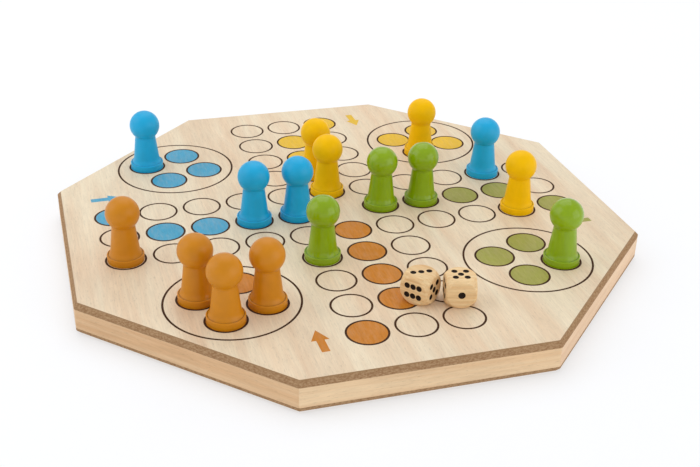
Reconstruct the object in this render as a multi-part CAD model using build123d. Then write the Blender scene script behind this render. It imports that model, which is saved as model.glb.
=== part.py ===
"""Two-sided octagonal wooden game board with sixteen turned pawns and two dice.

Millimetres. +Z is up and the board lies on its underside. The origin is the middle of the
underside. The board's flats face along X and Y and halfway between them.
"""

from build123d import *
from math import cos, isclose, radians, sin, sqrt, tan
import os

# --- board -------------------------------------------------------------------------------------
ACROSS_FLATS = 373.0      # outside width of the octagon, flat to flat
CORNER_ROUND = 3.0        # plan radius of the eight corners
SHEET = 3.5               # fibreboard core of each face panel
VENEER = 0.5              # wood veneer pressed on the outer face of each core
BEVEL = 2.3               # 45 degree bevel round each face, through veneer and core
RAIL_HEIGHT = 13.0        # solid wood frame between the two panels
RAIL_WIDTH = 20.0
BRACE_WIDTH = 40.0        # slat across the hollow that keeps the panels from drumming

# --- track of circles printed on the top face ----------------------------------------------------
TRACK_REACH = 5           # circles from the middle of the board to the end of an arm
PRINT_MARGIN = 21.0       # from the outermost circles to the bevel
RING_CLEARANCE = 1.15     # bare ring of each circle seen all round a pawn's foot
PRINT_TURN = 1.4          # degrees that the printing is turned on the board
PRINT_SHIFT = (-1.2, 1.6)
HOME_PLACE = 3.216        # a home's middle along X and Y, in track steps
HOME_SPREAD = 0.705       # from a home's middle to each of its four circles, in track steps
HOME_TURN = -22.5         # direction of a home's first circle, in degrees

# --- turned pawns ----------------------------------------------------------------------------------
PAWN_HEIGHT = 43.6
HEAD_D = 21.3
NECK_D = 14.3
NECK_ROUND = 1.6          # hollow round between the cone and the head
CONE_D = 18.2             # foot of the straight cone, where it starts to flare
CONE_FOOT = 8.5           # height of that place
FOOT_D = 23.5             # widest part of the collar round the foot
COLLAR_HEIGHT = 4.8
COLLAR_STEP = 0.9         # from the collar's widest part in to the groove above it
GROOVE = 0.4              # depth of the turned groove between the collar and the flare
COLLAR_TAPER = 0.25       # how much the collar draws in towards the board
COLLAR_ROUND = 0.7        # rounding of the collar's upper edge
FOOT_EASING = 0.15        # and of its lower edge

# --- dice --------------------------------------------------------------------------------------------
DIE = 18.5
DIE_BALL_OVER = 6.7       # how much wider than the die the ball is that its corners are turned to
DIE_EASING = 0.8          # softening where the ball meets the flat faces
PIP_SPACING = 3.5         # pitch of the square grid that the pips of one to five stand on
SIX_PITCH = 4.0           # from pip to pip in each row of the six
SIX_ROWS = 6.2            # from one row of the six to the other
PIP_D = 3.7
ONE_PIP_D = 4.4           # the single pip of the one is drilled wider
PIP_DEPTH = 0.7
LEFT_DIE_PLACE = (0.400, -4.111)   # in track steps
LEFT_DIE_TURN = -50.5
DICE_LINE = -22.8         # direction from the left die to the right one
DICE_GAP = 5.0            # from middle to middle along that line, over the width of a die
RIGHT_DIE_TURN = -15.2

CORE_HEIGHT = SHEET + VENEER
BOARD_HEIGHT = 2 * CORE_HEIGHT + RAIL_HEIGHT
RING_D = FOOT_D + 2 * RING_CLEARANCE
TRACK_STEP = (ACROSS_FLATS / 2 - BEVEL - PRINT_MARGIN - RING_D / 2) / TRACK_REACH

RAIL_NAMES = ["right", "back_right", "back", "back_left", "left", "front_left", "front", "front_right"]
SIDE_TURN = 360 / len(RAIL_NAMES)

# Where each pawn stands: a track circle as (step along X, step along Y), or a home's circle
# as (sign of X, sign of Y, circle number counted anticlockwise).
PAWNS = {
    "blue": [(-1, 1, 2), (-2, 0), (-1, 0), (4, 1)],
    "orange": [(-1, -1, 3), (-1, -1, 2), (-1, -1, 0), (-5, -1)],
    "yellow": [(1, 1, 3), (4, -1), (0, 1), (0, 2)],
    "green": [(1, 0), (2, 0), (-1, -2), (1, -1, 0)],
}


def octagon(across_flats, corner_round=0.0):
    """A flat octagon with its flats facing along X and Y."""
    sides = len(RAIL_NAMES)
    shape = RegularPolygon(across_flats / 2, sides, major_radius=False, rotation=SIDE_TURN / 2)
    return fillet(shape.vertices(), corner_round) if corner_round else shape


def face_panel():
    """Core and veneer of the upper panel, both standing on Z = 0."""
    slab = extrude(octagon(ACROSS_FLATS, CORNER_ROUND), CORE_HEIGHT)
    slab = chamfer(slab.faces().sort_by(Axis.Z)[-1].edges(), BEVEL)
    above_core = Pos(0, 0, SHEET) * extrude(octagon(2 * ACROSS_FLATS), CORE_HEIGHT)
    return slab - above_core, slab & above_core


def frame_rail(number):
    """One solid wood rail of the frame, mitred at both ends."""
    hoop = octagon(ACROSS_FLATS, CORNER_ROUND) - octagon(ACROSS_FLATS - 2 * RAIL_WIDTH)
    mitre = ACROSS_FLATS * tan(radians(SIDE_TURN / 2))
    sector = make_face(Polyline((0, 0), (ACROSS_FLATS, -mitre), (ACROSS_FLATS, mitre), close=True))
    return extrude(hoop & Rot(0, 0, SIDE_TURN * number) * sector, RAIL_HEIGHT)


def brace():
    """Slat that runs across the hollow from the left rail to the right one."""
    return extrude(Rectangle(ACROSS_FLATS - 2 * RAIL_WIDTH, BRACE_WIDTH), RAIL_HEIGHT)


def pawn():
    """A turned pawn: ball head, flared cone, groove and collar, standing on Z = 0."""
    foot, waist, head = FOOT_D / 2, NECK_D / 2, HEAD_D / 2
    head_middle = PAWN_HEIGHT - head
    neck = (waist, head_middle - sqrt(head ** 2 - waist ** 2))
    groove = (foot - COLLAR_STEP, COLLAR_HEIGHT - GROOVE)
    collar = Polyline((0, 0), (foot - COLLAR_TAPER, 0), (foot, COLLAR_HEIGHT),
                      (foot - COLLAR_STEP, COLLAR_HEIGHT), groove)
    cone = Line(neck, (CONE_D / 2, CONE_FOOT))
    flare = TangentArc(cone @ 1, groove, tangent=cone % 1)
    ball = ThreePointArc(neck, (head, head_middle), (0, PAWN_HEIGHT))
    profile = make_face([collar, flare, cone, ball, Line((0, PAWN_HEIGHT), (0, 0))])
    turned = revolve(Plane.XZ * profile, Axis.Z)

    def rings(radius, height):
        """The circular edges of that radius at that height."""
        circles = turned.edges().filter_by(GeomType.CIRCLE).filter_by_position(Axis.Z, height, height)
        return [circle for circle in circles if isclose(circle.radius, radius, abs_tol=0.001)]

    turned = fillet(rings(*neck), NECK_ROUND)
    turned = fillet(rings(foot, COLLAR_HEIGHT), COLLAR_ROUND)
    return fillet(rings(foot - COLLAR_TAPER, 0), FOOT_EASING)


def pips(value):
    """Places of the pips of one face, from the face's middle."""
    if value == 6:
        return [(i * SIX_PITCH, j * SIX_ROWS / 2) for i in (-1, 0, 1) for j in (-1, 1)]
    middle = [(0, 0)] if value % 2 else []
    rising = [(-1, -1), (1, 1)] if value > 1 else []
    falling = [(-1, 1), (1, -1)] if value > 3 else []
    return [(i * PIP_SPACING, j * PIP_SPACING) for i, j in middle + rising + falling]


def die(top, front, right):
    """A ball-cornered die with drilled pips, standing on Z = 0."""
    cube = Box(DIE, DIE, DIE) & Sphere((DIE + DIE_BALL_OVER) / 2)
    cube = fillet(cube.edges(), DIE_EASING)
    faces = [
        (top, (1, 0, 0), (0, 0, 1)), (7 - top, (1, 0, 0), (0, 0, -1)),
        (front, (1, 0, 0), (0, -1, 0)), (7 - front, (1, 0, 0), (0, 1, 0)),
        (right, (0, 1, 0), (1, 0, 0)), (7 - right, (0, 1, 0), (-1, 0, 0)),
    ]
    for value, along, normal in faces:
        mouth = (ONE_PIP_D if value == 1 else PIP_D) / 2
        bit = (mouth ** 2 + PIP_DEPTH ** 2) / (2 * PIP_DEPTH)
        face = Plane(Vector(*normal) * DIE / 2, x_dir=along, z_dir=normal)
        for x, y in pips(value):
            cube -= face * Pos(x, y, bit - PIP_DEPTH) * Sphere(bit)
    return Pos(0, 0, DIE / 2) * cube


def on_track(column, row):
    """The place on the board's top face of a point given in track steps."""
    middle = Pos(*PRINT_SHIFT, BOARD_HEIGHT) * Rot(0, 0, PRINT_TURN)
    return middle * Pos(column * TRACK_STEP, row * TRACK_STEP)


def on_circle(place):
    """The place of a pawn, from its entry in PAWNS."""
    if len(place) == 2:
        return on_track(*place)
    side_x, side_y, number = place
    angle = radians(HOME_TURN + 90 * number)
    return on_track(side_x * HOME_PLACE + HOME_SPREAD * cos(angle),
                    side_y * HOME_PLACE + HOME_SPREAD * sin(angle))


nodes = {}
core, veneer = face_panel()
top = Pos(0, 0, CORE_HEIGHT + RAIL_HEIGHT)
turned_over = Pos(0, 0, CORE_HEIGHT) * Rot(180, 0, 0)
nodes["top_panel"] = top * core
nodes["top_veneer"] = top * veneer
nodes["bottom_panel"] = turned_over * core
nodes["bottom_veneer"] = turned_over * veneer
for number, name in enumerate(RAIL_NAMES):
    nodes[f"rail_{name}"] = Pos(0, 0, CORE_HEIGHT) * frame_rail(number)
nodes["centre_brace"] = Pos(0, 0, CORE_HEIGHT) * brace()

turned_pawn = pawn()
for colour, places in PAWNS.items():
    for number, place in enumerate(places, start=1):
        nodes[f"{colour}_pawn_{number}"] = on_circle(place) * turned_pawn

left_spot = on_track(*LEFT_DIE_PLACE)
right_spot = left_spot * Rot(0, 0, DICE_LINE) * Pos(DIE + DICE_GAP, 0)
nodes["left_die"] = left_spot * Rot(0, 0, LEFT_DIE_TURN) * die(top=3, front=6, right=5)
nodes["right_die"] = right_spot * Rot(0, 0, RIGHT_DIE_TURN - DICE_LINE) * die(top=5, front=1, right=3)

os.makedirs("parts", exist_ok=True)
for name, shape in nodes.items():
    export_step(shape, f"parts/{name}.step")
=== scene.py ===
"""An octagonal two-sided wooden game board with its turned pawns and dice, dressed around the CAD frame."""

import math

import bmesh
import bpy
from mathutils import Matrix, Vector


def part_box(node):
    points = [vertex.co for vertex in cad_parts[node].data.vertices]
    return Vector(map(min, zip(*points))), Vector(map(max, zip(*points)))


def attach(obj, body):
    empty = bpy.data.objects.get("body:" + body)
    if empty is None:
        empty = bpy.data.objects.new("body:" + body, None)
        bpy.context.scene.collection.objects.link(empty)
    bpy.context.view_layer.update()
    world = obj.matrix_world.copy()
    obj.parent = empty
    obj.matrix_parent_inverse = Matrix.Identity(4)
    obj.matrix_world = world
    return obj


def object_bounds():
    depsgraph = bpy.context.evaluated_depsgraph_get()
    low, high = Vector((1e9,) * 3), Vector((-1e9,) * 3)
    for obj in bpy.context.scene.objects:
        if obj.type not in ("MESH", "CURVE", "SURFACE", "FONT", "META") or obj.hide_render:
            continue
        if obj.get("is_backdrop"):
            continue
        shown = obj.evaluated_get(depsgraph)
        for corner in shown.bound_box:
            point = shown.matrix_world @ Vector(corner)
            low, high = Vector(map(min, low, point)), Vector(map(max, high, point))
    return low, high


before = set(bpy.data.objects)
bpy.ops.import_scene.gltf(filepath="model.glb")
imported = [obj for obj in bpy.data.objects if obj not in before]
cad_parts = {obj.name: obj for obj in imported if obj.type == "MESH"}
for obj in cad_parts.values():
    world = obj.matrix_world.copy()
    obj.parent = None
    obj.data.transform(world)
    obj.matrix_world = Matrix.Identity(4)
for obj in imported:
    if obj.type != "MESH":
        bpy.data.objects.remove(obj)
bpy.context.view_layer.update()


# ---- where the printing lies ---------------------------------------------------------------------
# The face carries a cross of circles, eleven by eleven steps, printed a little askew on the board.
# Two pawns stand on its middle row, two steps to the left and two to the right of its middle, so
# they give the printing's place, step and turn.

def middle(node):
    """The middle of a CAD node's box."""
    low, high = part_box(node)
    return (low + high) / 2


left_pawn, right_pawn = middle("blue_pawn_2"), middle("green_pawn_2")
across = (right_pawn - left_pawn) / 4
step = across.length
print_turn = math.atan2(across.y, across.x)
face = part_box("top_veneer")[1].z
print_middle = Vector(((left_pawn.x + right_pawn.x) / 2, (left_pawn.y + right_pawn.y) / 2, face))
to_board = Matrix.Translation(print_middle) @ Matrix.Rotation(print_turn, 4, "Z") @ Matrix.Scale(step, 4)


# ---- camera --------------------------------------------------------------------------------------
# A long lens looks from the front, a little to the left and above, tilted slightly. Its aim
# and distance are in track steps, from the middle of the printing.

LOOK_AT = (-0.112, -1.146, 0)
DISTANCE = 24.613
AZIMUTH = math.radians(-18.529) + print_turn
ELEVATION = math.radians(28.34)
ROLL = math.radians(1.523)
FOCAL_LENGTH = 57.28

back = Vector((math.sin(AZIMUTH) * math.cos(ELEVATION), -math.cos(AZIMUTH) * math.cos(ELEVATION),
               math.sin(ELEVATION)))
level = Vector((math.cos(AZIMUTH), math.sin(AZIMUTH), 0))
upright = back.cross(level)
axes = Matrix((level, upright, back)).transposed().to_4x4()
camera = bpy.data.objects.new("camera", bpy.data.cameras.new("camera"))
camera.data.lens = FOCAL_LENGTH
camera.matrix_world = (Matrix.Translation(to_board @ Vector(LOOK_AT) + back * DISTANCE * step)
                       @ axes @ Matrix.Rotation(ROLL, 4, "Z"))
bpy.context.scene.collection.objects.link(camera)
bpy.context.scene.camera = camera


# ---- table and light -----------------------------------------------------------------------------
# A white sweep in a light tent: even white light from all round, and three large soft boxes that
# draw the broad highlights. The paper glows a little, which keeps the shadow along the front faint,
# and the tent is brightest low down, where its walls run into the paper.

def linear(code):
    """An sRGB hex colour as the linear colour that a shader takes."""
    parts = [int(code[i:i + 2], 16) / 255 for i in (1, 3, 5)]
    return [p / 12.92 if p <= 0.04045 else ((p + 0.055) / 1.055) ** 2.4 for p in parts] + [1]


def add(tree, kind, settings=None, sockets=None):
    """Adds a shader node, with its settings and sockets.

    A socket is given by name, or by number where two have the same name. It takes a value, an
    output, or a node for its first output."""
    made = tree.nodes.new("ShaderNode" + kind)
    for name, value in (settings or {}).items():
        setattr(made, name, value)
    for name, value in (sockets or {}).items():
        if isinstance(name, int):
            socket = made.inputs[name]
        else:
            socket = next(s for s in made.inputs if s.name == name and s.enabled)
        if isinstance(value, bpy.types.ShaderNode):
            value = next(o for o in value.outputs if o.enabled)
        if isinstance(value, bpy.types.NodeSocket):
            tree.links.new(value, socket)
        else:
            socket.default_value = value
    return made


def new_material(name):
    """An empty material, and its node tree."""
    made = bpy.data.materials.new(name)
    made.use_nodes = True
    made.node_tree.nodes.clear()
    return made, made.node_tree


def surface(tree, sockets, height=None, depth=0.0):
    """Ends a material with its surface shader and, if it has one, a bump of a height pattern."""
    if height is not None:
        sockets["Normal"] = add(tree, "Bump", {}, {"Height": height, "Distance": depth, "Strength": 1.0})
    shader = add(tree, "BsdfPrincipled", {}, sockets)
    add(tree, "OutputMaterial", {}, {"Surface": shader})


MM = 0.001
SWEEP_SIZE = 2.4                  # metres
SWEEP_GAP = 0.2 * MM              # keeps the paper clear of the board's underside
half_sweep = SWEEP_SIZE / 2
sweep_mesh = bpy.data.meshes.new("sweep")
corners = [(x * half_sweep, y * half_sweep, -SWEEP_GAP) for x, y in ((-1, -1), (1, -1), (1, 1), (-1, 1))]
sweep_mesh.from_pydata(corners, [], [(0, 1, 2, 3)])
sweep = bpy.data.objects.new("sweep", sweep_mesh)
bpy.context.scene.collection.objects.link(sweep)

# Matt paper: no highlight, only the board's soft shadow.
paper, paper_tree = new_material("white background paper, lit from below")
surface(paper_tree, {"Base Color": linear("#ACAEB2"), "Roughness": 0.9, "Specular IOR Level": 0.1,
                     "Emission Color": (1, 1, 1, 1), "Emission Strength": 0.56})
sweep_mesh.materials.append(paper)
sweep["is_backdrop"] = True

world = bpy.data.worlds.new("light tent")
world.use_nodes = True
tent = world.node_tree
direction = add(tent, "SeparateXYZ", {}, {"Vector": add(tent, "TexCoord").outputs["Generated"]})
walls = add(tent, "MapRange", {}, {"Value": direction.outputs["Z"], "From Min": 0.1, "From Max": 0.3,
                                   "To Min": 1.0, "To Max": 0.66})
tent.links.new(walls.outputs[0], tent.nodes["Background"].inputs["Strength"])
tent.nodes["Background"].inputs["Color"].default_value = (1, 1, 1, 1)
bpy.context.scene.world = world

SOFT_BOXES = {                    # metres and watts
    "soft box above": {"at": (0.15, 0.75, 1.5), "size": 1.6, "power": 9},
    "soft box left": {"at": (-1.4, 0.3, 1.0), "size": 1.4, "power": 7},
    "soft box right": {"at": (1.1, -1.2, 0.45), "size": 1.4, "power": 7},
}
for name, box in SOFT_BOXES.items():
    lamp = bpy.data.lights.new(name, "AREA")
    lamp.size = box["size"]
    lamp.energy = box["power"]
    light = bpy.data.objects.new(name, lamp)
    light.location = box["at"]
    light.rotation_euler = Vector(box["at"]).to_track_quat("Z", "Y").to_euler()
    bpy.context.scene.collection.objects.link(light)
bpy.context.scene.view_settings.view_transform = "Standard"


# ---- face veneers --------------------------------------------------------------------------------
# Half a millimetre of pale rubberwood veneer on each face, its grain running from front to back,
# sanded and sealed with a thin matt lacquer. The bevel is routed through it, and its cut edge is as
# brown as the board below. The rails are the same wood.

# Each layer of the wood's pattern: width and run along the grain in millimetres, detail, and a
# shift that keeps it apart from the others. Fibres and pores are coarser than life, so that they show.
CLOUDS = (28.0, 70.0, 2.0, 5.3)
FIBRES = (1.1, 15.0, 4.0, 7.7)
PORES = (0.5, 3.5, 2.0, 12.4)
WORN_INK = (2.5, 9.0, 3.0, 9.2)
BAND_DETAIL, BAND_SHIFT = 3.0, 3.1


def grain(tree, place, light_tone, dark_tone, band=9.0, length=260.0, thin=None):
    """Plain sawn wood with its grain along Y of place: returns its colour and its relief.

    band and length are the size of one growth band in millimetres. thin is the colour of an ink
    that covers the wood, and wears thin in places."""
    layers = [(band, length, BAND_DETAIL, BAND_SHIFT), CLOUDS, FIBRES, PORES]
    if thin:
        layers.append(WORN_INK)
    patterns = []
    for width, run, detail, shift in layers:
        scale = (1 / (width * MM), 1 / (run * MM), 1 / (width * MM))
        scaled = add(tree, "Mapping", {}, {"Vector": place, "Location": (shift,) * 3, "Scale": scale})
        patterns.append(add(tree, "TexNoise", {}, {"Vector": scaled, "Scale": 1.0, "Detail": detail,
                                                   "Roughness": 0.6, "Distortion": 0.2}))
    bands, clouds, fibres, pores = patterns[:4]
    figure = add(tree, "MapRange", {}, {"Value": bands, "From Min": 0.36, "From Max": 0.68})
    blotch = add(tree, "MapRange", {}, {"Value": clouds, "From Min": 0.35, "From Max": 0.65,
                                        "To Min": 0.96, "To Max": 1.035})
    streak = add(tree, "MapRange", {}, {"Value": fibres, "From Min": 0.3, "From Max": 0.7,
                                        "To Min": 0.925, "To Max": 1.055})
    pore = add(tree, "MapRange", {}, {"Value": pores, "From Min": 0.58, "From Max": 0.72,
                                      "To Min": 1.0, "To Max": 0.83})
    streaked = add(tree, "Math", {"operation": "MULTIPLY"}, {0: blotch, 1: streak})
    tone = add(tree, "Math", {"operation": "MULTIPLY"}, {0: streaked, 1: pore})
    wood = add(tree, "Mix", {"data_type": "RGBA"}, {"Factor": figure, "A": linear(light_tone),
                                                    "B": linear(dark_tone)})
    if thin:
        wear = add(tree, "MapRange", {}, {"Value": patterns[-1], "From Min": 0.4, "From Max": 0.75,
                                          "To Min": 0.0, "To Max": 0.16})
        wood = add(tree, "Mix", {"data_type": "RGBA"}, {"Factor": wear, "A": linear(thin), "B": wood})
    colour = add(tree, "Mix", {"data_type": "RGBA", "blend_type": "MULTIPLY"},
                 {"Factor": 1.0, "A": wood, "B": tone})
    return colour, tone


def turned_place(tree, turn=0.0, shift=(0, 0, 0)):
    """Frame coordinates turned about Z, so that Y runs along the grain, and moved to another board."""
    frame_place = add(tree, "TexCoord").outputs["Object"]
    return add(tree, "Mapping", {}, {"Vector": frame_place, "Rotation": (0, 0, -turn), "Location": shift})


# Matt lacquer over fine wood: a broad, weak sheen, with the pores just showing.
CUT_EDGE = "#9A7852"
veneer, tree = new_material("rubberwood veneer, matt lacquer")
colour, relief = grain(tree, turned_place(tree), "#E9D9BD", "#E0C5A6", band=14.0, length=160.0)
facing = add(tree, "SeparateXYZ", {}, {"Vector": add(tree, "NewGeometry").outputs["Normal"]})
level_part = add(tree, "Math", {"operation": "ABSOLUTE"}, {"Value": facing.outputs["Z"]})
on_flat = add(tree, "MapRange", {}, {"Value": level_part, "From Min": 0.8, "From Max": 0.95})
colour = add(tree, "Mix", {"data_type": "RGBA"}, {"Factor": on_flat, "A": linear(CUT_EDGE), "B": colour})
surface(tree, {"Base Color": colour, "Roughness": 0.5, "Specular IOR Level": 0.35}, relief, 0.04 * MM)
for node in ("top_veneer", "bottom_veneer"):
    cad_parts[node].data.materials[0] = veneer


# ---- printing on the top face --------------------------------------------------------------------
# Screen printed inks: coloured discs and arrows first, then the brown outlines over their edges.
# The inks are thin and let the grain of the veneer show through. Places are in track steps.

INK = 0.03 * MM                 # coloured film above the veneer
BROWN_INK = 1.3 * INK           # brown film, which lies over the coloured one
OUTLINE = 1.35 * MM             # width of the brown lines
RING_EDGE = 1.4 * MM            # ring outside a pawn's foot
PLAYERS = 4                     # one quarter of the printing each
HOME_POINTS = 256               # round the large ring of a home
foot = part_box("blue_pawn_2")
ring = (foot[1].x - foot[0].x) / 2 + RING_EDGE
HOME_PLACE, HOME_SPREAD, HOME_RING = 3.216, 0.705, 1.395
HOME_TURN = math.radians(-22.5)
ARROW = [(0, 0.372), (0.182, 0.018), (0.082, 0.018), (0.082, -0.372),
         (-0.082, -0.372), (-0.082, 0.018), (-0.182, 0.018)]
ARROW_PLACE = (-1.938, -5.03)


def film(name, outlines, height, sunk=-2 * INK):
    """One layer of ink: closed plates of the given outlines, from height down into the wood by sunk."""
    layer = bmesh.new()
    for outer, inner in outlines:
        rims = [[layer.verts.new((p[0], p[1], z)) for p in loop] for loop in (outer, inner) if loop
                for z in (height, height + sunk)]
        count = len(outer)
        if inner:
            pairs = [(0, 1), (3, 2), (2, 0), (1, 3)]    # outer wall, inner wall, upper and lower side
            for a, b in pairs:
                for i in range(count):
                    j = (i + 1) % count
                    layer.faces.new((rims[a][i], rims[b][i], rims[b][j], rims[a][j]))
        else:
            layer.faces.new(rims[0])
            layer.faces.new(list(reversed(rims[1])))
            for i in range(count):
                j = (i + 1) % count
                layer.faces.new((rims[0][i], rims[1][i], rims[1][j], rims[0][j]))
    bmesh.ops.recalc_face_normals(layer, faces=layer.faces)
    mesh = bpy.data.meshes.new(name)
    layer.to_mesh(mesh)
    layer.free()
    piece = bpy.data.objects.new(name, mesh)
    bpy.context.scene.collection.objects.link(piece)
    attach(piece, "board")
    return piece


def circle(centre, radius, points=96):
    """Points round a circle on the face."""
    angles = [math.tau * i / points for i in range(points)]
    return [(centre.x + radius * math.cos(a), centre.y + radius * math.sin(a)) for a in angles]


def quarter_turned(place, quarters):
    """A place in track steps, turned by quarter turns about the middle."""
    x, y = place
    for _ in range(quarters):
        x, y = -y, x
    return x, y


def on_face(place):
    """The place on the board's top face of a place in track steps."""
    return to_board @ Vector((*place, 0))


REACH = 5                       # circles from the middle of the board to the end of an arm
columns = range(-REACH, REACH + 1)
track = [(x, y) for x in columns for y in columns if min(abs(x), abs(y)) <= 1 and (x, y) != (0, 0)]
home_circles = [(-HOME_PLACE + HOME_SPREAD * math.cos(HOME_TURN + k * math.pi / 2),
                 -HOME_PLACE + HOME_SPREAD * math.sin(HOME_TURN + k * math.pi / 2)) for k in range(PLAYERS)]
run_and_start = [(0, y) for y in range(1 - REACH, 0)] + [(-1, -REACH)]
ringed = [on_face(p) for p in track]
ringed += [on_face(quarter_turned(p, q)) for q in range(PLAYERS) for p in home_circles]
outlines = [(circle(c, ring), circle(c, ring - OUTLINE)) for c in ringed]
for q in range(PLAYERS):
    home = on_face(quarter_turned((-HOME_PLACE, -HOME_PLACE), q))
    outlines.append((circle(home, HOME_RING * step, HOME_POINTS),
                     circle(home, HOME_RING * step - OUTLINE, HOME_POINTS)))
brown_print = film("brown_outline_print", outlines, face + BROWN_INK)

# A full coat of matt ink: it hides the wood's colour, follows its pores, and hardly shines.
brown_ink, tree = new_material("brown screen ink")
colour, relief = grain(tree, turned_place(tree), "#4C3222", "#40281A")
surface(tree, {"Base Color": colour, "Roughness": 0.6, "Specular IOR Level": 0.05}, relief, 0.03 * MM)
brown_print.data.materials.append(brown_ink)

# A thin coat: an even colour that pales a little where the wood shows through.
INK_COLOURS = {"orange": "#C67800", "green": "#9C9C44", "yellow": "#E6BA20", "blue": "#42A0C4"}
coloured_inks = {}
for quarters, (name, code) in enumerate(INK_COLOURS.items()):       # anticlockwise from the front
    discs = [on_face(quarter_turned(p, quarters)) for p in home_circles + run_and_start]
    shapes = [(circle(c, ring - OUTLINE / 2), None) for c in discs]
    arrow = [quarter_turned((ARROW_PLACE[0] + x, ARROW_PLACE[1] + y), quarters) for x, y in ARROW]
    shapes.append(([on_face(p).xy for p in arrow], None))
    layer = film(f"{name}_print", shapes, face + INK)
    ink, tree = new_material(f"{name} screen ink over veneer")
    colour, relief = grain(tree, turned_place(tree), "#D8BE9C", "#D0B08C", thin=code)
    surface(tree, {"Base Color": colour, "Roughness": 0.5, "Specular IOR Level": 0.3}, relief, 0.03 * MM)
    layer.data.materials.append(ink)
    coloured_inks[name] = ink


# ---- printing on the underside -------------------------------------------------------------------
# The second game: a six pointed star of 121 circles on a triangular grid, screen printed in the same
# inks straight on the flat underside. Four of its six camps are filled with the players' colours.

STAR_PITCH = 23.0 * MM
STAR_RING = 8.0 * MM
CAMP = 4                        # rows of circles in each point of the star
CAMP_INKS = {"orange": (0, 1), "green": (1, -1), "yellow": (0, -1), "blue": (1, 1)}   # axis and side
rows = range(-2 * CAMP, 2 * CAMP + 1)
grid = [(a, b, -a - b) for a in rows for b in rows]
star = [p for p in grid if max(p) <= CAMP or min(p) >= -CAMP]


def under(point):
    """The place on the underside of a point of the star."""
    a, b, _ = point
    return STAR_PITCH * Vector((a + b / 2, b * math.sqrt(3) / 2))


star_outlines = [(circle(under(p), STAR_RING), circle(under(p), STAR_RING - OUTLINE)) for p in star]
star_print = film("brown_star_print", star_outlines, -BROWN_INK, 2 * INK)
star_print.data.materials.append(brown_ink)
for name, (axis, side) in CAMP_INKS.items():
    camp = [p for p in star if side * p[axis] > CAMP]
    discs = [(circle(under(p), STAR_RING - OUTLINE / 2), None) for p in camp]
    layer = film(f"{name}_camp_print", discs, -INK, 2 * INK)
    layer.data.materials.append(coloured_inks[name])


# ---- fibreboard panels ---------------------------------------------------------------------------
# The core of each face panel is medium density fibreboard. Its sawn and bevelled edge stays bare:
# brown, speckled with pale fibre bundles that lie flat.

BUNDLE, BUNDLE_THICKNESS = 1.5, 0.7     # millimetres

# Cut fibre: dull and rough, with pale flecks.
fibreboard, tree = new_material("bare fibreboard edge")
frame_place = add(tree, "TexCoord").outputs["Object"]
bundle_scale = (1 / (BUNDLE * MM), 1 / (BUNDLE * MM), 1 / (BUNDLE_THICKNESS * MM))
laid = add(tree, "Mapping", {}, {"Vector": frame_place, "Scale": bundle_scale})
speckle = add(tree, "TexNoise", {}, {"Vector": laid, "Scale": 1.0, "Detail": 2.0, "Roughness": 0.6})
fleck = add(tree, "MapRange", {}, {"Value": speckle, "From Min": 0.38, "From Max": 0.68})
fibre = add(tree, "Mix", {"data_type": "RGBA"}, {"Factor": fleck, "A": linear("#947150"),
                                                 "B": linear("#B39370")})
surface(tree, {"Base Color": fibre, "Roughness": 0.9, "Specular IOR Level": 0.1}, speckle, 0.1 * MM)
for node in ("top_panel", "bottom_panel"):
    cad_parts[node].data.materials[0] = fibreboard


# ---- frame rails and brace -----------------------------------------------------------------------
# Eight solid rubberwood rails, mitred and glued into a hoop, each with its own grain running along
# its length. Sanded flush with the panels and lacquered. The brace inside is the same stock.

RAILS = ["right", "back_right", "back", "back_left", "left", "front_left", "front", "front_right"]
TONES = [("#E8C9A6", "#DDB891"), ("#E2BF97", "#D6AC84"), ("#E6C7A2", "#DCB68E"), ("#DDB98F", "#D2A67C"),
         ("#E4C29A", "#D8AE86"), ("#E0BD94", "#D3A87C"), ("#E6C9A2", "#DCB78D"), ("#E8C8A4", "#DDB690")]
BOARD_SHIFT = (0.31, 0.17, 0.05)  # from one rail's place in its stock to the next one's, in metres

# Matt lacquer over solid wood: a weak sheen, and growth bands that run along each rail.
for number, (name, tones) in enumerate(zip(RAILS, TONES)):
    wood, tree = new_material(f"solid rubberwood, {name.replace('_', ' ')} rail")
    place = turned_place(tree, math.tau * number / len(RAILS), [number * s for s in BOARD_SHIFT])
    colour, relief = grain(tree, place, *tones, band=5.0, length=150.0)
    surface(tree, {"Base Color": colour, "Roughness": 0.5, "Specular IOR Level": 0.3}, relief, 0.05 * MM)
    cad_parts[f"rail_{name}"].data.materials[0] = wood

# Straight from the saw: dull, and darker than the lacquered rails.
wood, tree = new_material("solid rubberwood, rough sawn")
colour, relief = grain(tree, turned_place(tree, math.pi / 2), "#DDB98C", "#CC9D6C", band=6.0)
surface(tree, {"Base Color": colour, "Roughness": 0.8}, relief, 0.1 * MM)
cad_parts["centre_brace"].data.materials[0] = wood


# ---- pawns ---------------------------------------------------------------------------------------
# Beech turned on a lathe and dipped in paint. Three colours dry satin; the green is a gloss
# lacquer. The lathe leaves fine rings, and the grain stands up a little under the paint. Painted
# shade darkens the paint in the creases under the head and above the collar.

PAWNS_EACH = 4
RAISED_GRAIN = (1.1, 22.0)      # width and height of a fibre, in millimetres
LATHE_RING = (60.0, 0.8)        # spread and height of a ring, in millimetres
PAINT_PATCH = 9.0 * MM          # where the paint lies thicker or thinner
CREASE = 1.6 * MM               # how far from a crease the painted shade reaches
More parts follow.
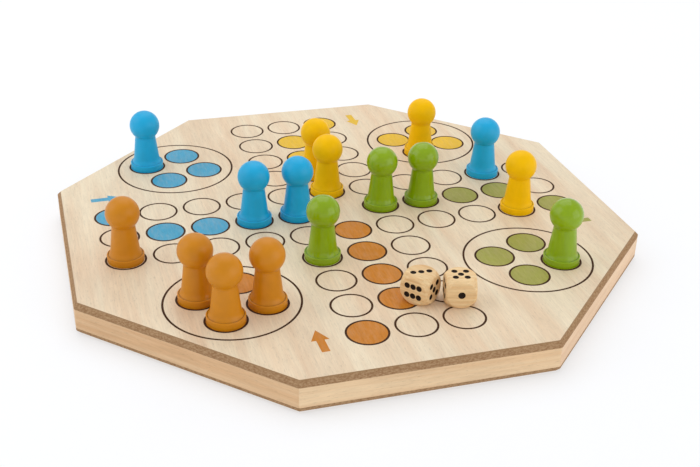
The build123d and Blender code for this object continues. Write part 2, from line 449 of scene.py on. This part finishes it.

# Satin paint gives a broad, soft highlight, and the gloss coat a clearer one. Each has its
# roughness, specular level and coat.
PAINTS = {
    "blue": ("satin blue paint on beech", "#14A8DC", 0.36, 0.3, 0.0),
    "orange": ("satin orange paint on beech", "#CB8208", 0.36, 0.3, 0.0),
    "yellow": ("satin yellow paint on beech", "#F6BF00", 0.36, 0.1, 0.0),
    "green": ("gloss green lacquer on beech", "#86A600", 0.3, 0.05, 0.7),
}
for name, (title, code, roughness, specular, coat) in PAINTS.items():
    paint, tree = new_material(title)
    frame_place = add(tree, "TexCoord").outputs["Object"]
    reliefs = []
    for (width, tall), detail in ((RAISED_GRAIN, 3.0), (LATHE_RING, 2.0)):
        scale = (1 / (width * MM), 1 / (width * MM), 1 / (tall * MM))
        scaled = add(tree, "Mapping", {}, {"Vector": frame_place, "Scale": scale})
        reliefs.append(add(tree, "TexNoise", {}, {"Vector": scaled, "Scale": 1.0, "Detail": detail}))
    height = add(tree, "Math", {"operation": "ADD"}, {0: reliefs[0], 1: reliefs[1]})
    patch = add(tree, "TexNoise", {}, {"Vector": frame_place, "Scale": 1 / PAINT_PATCH, "Detail": 2.0})
    thickness = add(tree, "MapRange", {}, {"Value": patch, "From Min": 0.3, "From Max": 0.7,
                                           "To Min": 0.94, "To Max": 1.04})
    colour = add(tree, "Mix", {"data_type": "RGBA", "blend_type": "MULTIPLY"},
                 {"Factor": 1.0, "A": linear(code), "B": thickness})
    # Painted shade: the colour is darkened by the pawn's own occlusion, deepest in the creases under the
    # head and above the collar.
    crease = add(tree, "AmbientOcclusion", {"only_local": True, "samples": 8}, {"Distance": CREASE})
    painted_crease_shade = add(tree, "MapRange", {}, {"Value": crease.outputs["AO"], "From Min": 0.45, "From Max": 0.95,
                                        "To Min": 0.45, "To Max": 1.0})
    colour = add(tree, "Mix", {"data_type": "RGBA", "blend_type": "MULTIPLY"},
                 {"Factor": 1.0, "A": colour, "B": painted_crease_shade})
    surface(tree, {"Base Color": colour, "Roughness": roughness, "Specular IOR Level": specular,
                   "Coat Weight": coat, "Coat Roughness": 0.13}, height, 0.03 * MM)
    for number in range(1, PAWNS_EACH + 1):
        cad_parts[f"{name}_pawn_{number}"].data.materials[0] = paint


# ---- dice ----------------------------------------------------------------------------------------
# Beech cubes with their corners turned to a ball, then tumbled. The pips are drilled and dabbed
# with dark brown paint, which lies as a thin film in each hollow.

PIP_FILM = 0.03 * MM
PIP_FIELD = 7.2 * MM            # how far from a face's middle a pip can reach
DAB = 0.9 * MM                  # size of a stroke in the pips' paint
SAME_POINT = 0.001 * MM         # corners nearer than this are one

# Brushed on: almost black, uneven, with little shine.
pip_paint, tree = new_material("dark brown pip paint")
frame_place = add(tree, "TexCoord").outputs["Object"]
dab = add(tree, "TexNoise", {}, {"Vector": frame_place, "Scale": 1 / DAB, "Detail": 2.0})
colour = add(tree, "Mix", {"data_type": "RGBA"}, {"Factor": dab, "A": linear("#150C07"),
                                                  "B": linear("#2A1A11")})
surface(tree, {"Base Color": colour, "Roughness": 0.6, "Specular IOR Level": 0.15}, dab, 0.04 * MM)

for name, shift in (("left_die", 0.4), ("right_die", 0.9)):
    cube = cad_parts[name].data
    centre = middle(name)
    low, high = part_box(name)
    half = (high.z - low.z) / 2
    upright_faces = [p for p in cube.polygons if abs(p.normal.z) < 0.01]
    flat = max(upright_faces, key=lambda p: p.area)
    turn = math.atan2(flat.normal.y, flat.normal.x)

    # Tumbled smooth: a soft sheen over short, fine grain.
    beech, tree = new_material(f"tumbled beech, {name.replace('_', ' ')}")
    place = turned_place(tree, turn + math.pi / 2, (shift, shift, shift))
    colour, relief = grain(tree, place, "#EED0A0", "#E0B682", band=2.2, length=40.0)
    surface(tree, {"Base Color": colour, "Roughness": 0.55, "Specular IOR Level": 0.25}, relief, 0.04 * MM)
    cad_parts[name].data.materials[0] = beech

    to_die = Matrix.Rotation(-turn, 3, "Z")
    lining = bmesh.new()
    lining.from_mesh(cube)
    bare = []
    for polygon in lining.faces:
        reach = sorted(abs(v) for v in to_die @ (polygon.calc_center_median() - centre))
        if reach[2] > half - PIP_FILM / 2 or math.hypot(reach[0], reach[1]) > PIP_FIELD:
            bare.append(polygon)
    bmesh.ops.delete(lining, geom=bare, context="FACES")
    bmesh.ops.remove_doubles(lining, verts=lining.verts, dist=SAME_POINT)
    mesh = bpy.data.meshes.new(f"{name}_pips")
    lining.to_mesh(mesh)
    lining.free()
    mesh.materials.clear()
    mesh.materials.append(pip_paint)
    pips = bpy.data.objects.new(f"{name}_pips", mesh)
    bpy.context.scene.collection.objects.link(pips)
    thicken = pips.modifiers.new("coat of paint", "SOLIDIFY")
    thicken.thickness = PIP_FILM
    thicken.offset = 1.0
    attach(pips, name)


low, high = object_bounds()
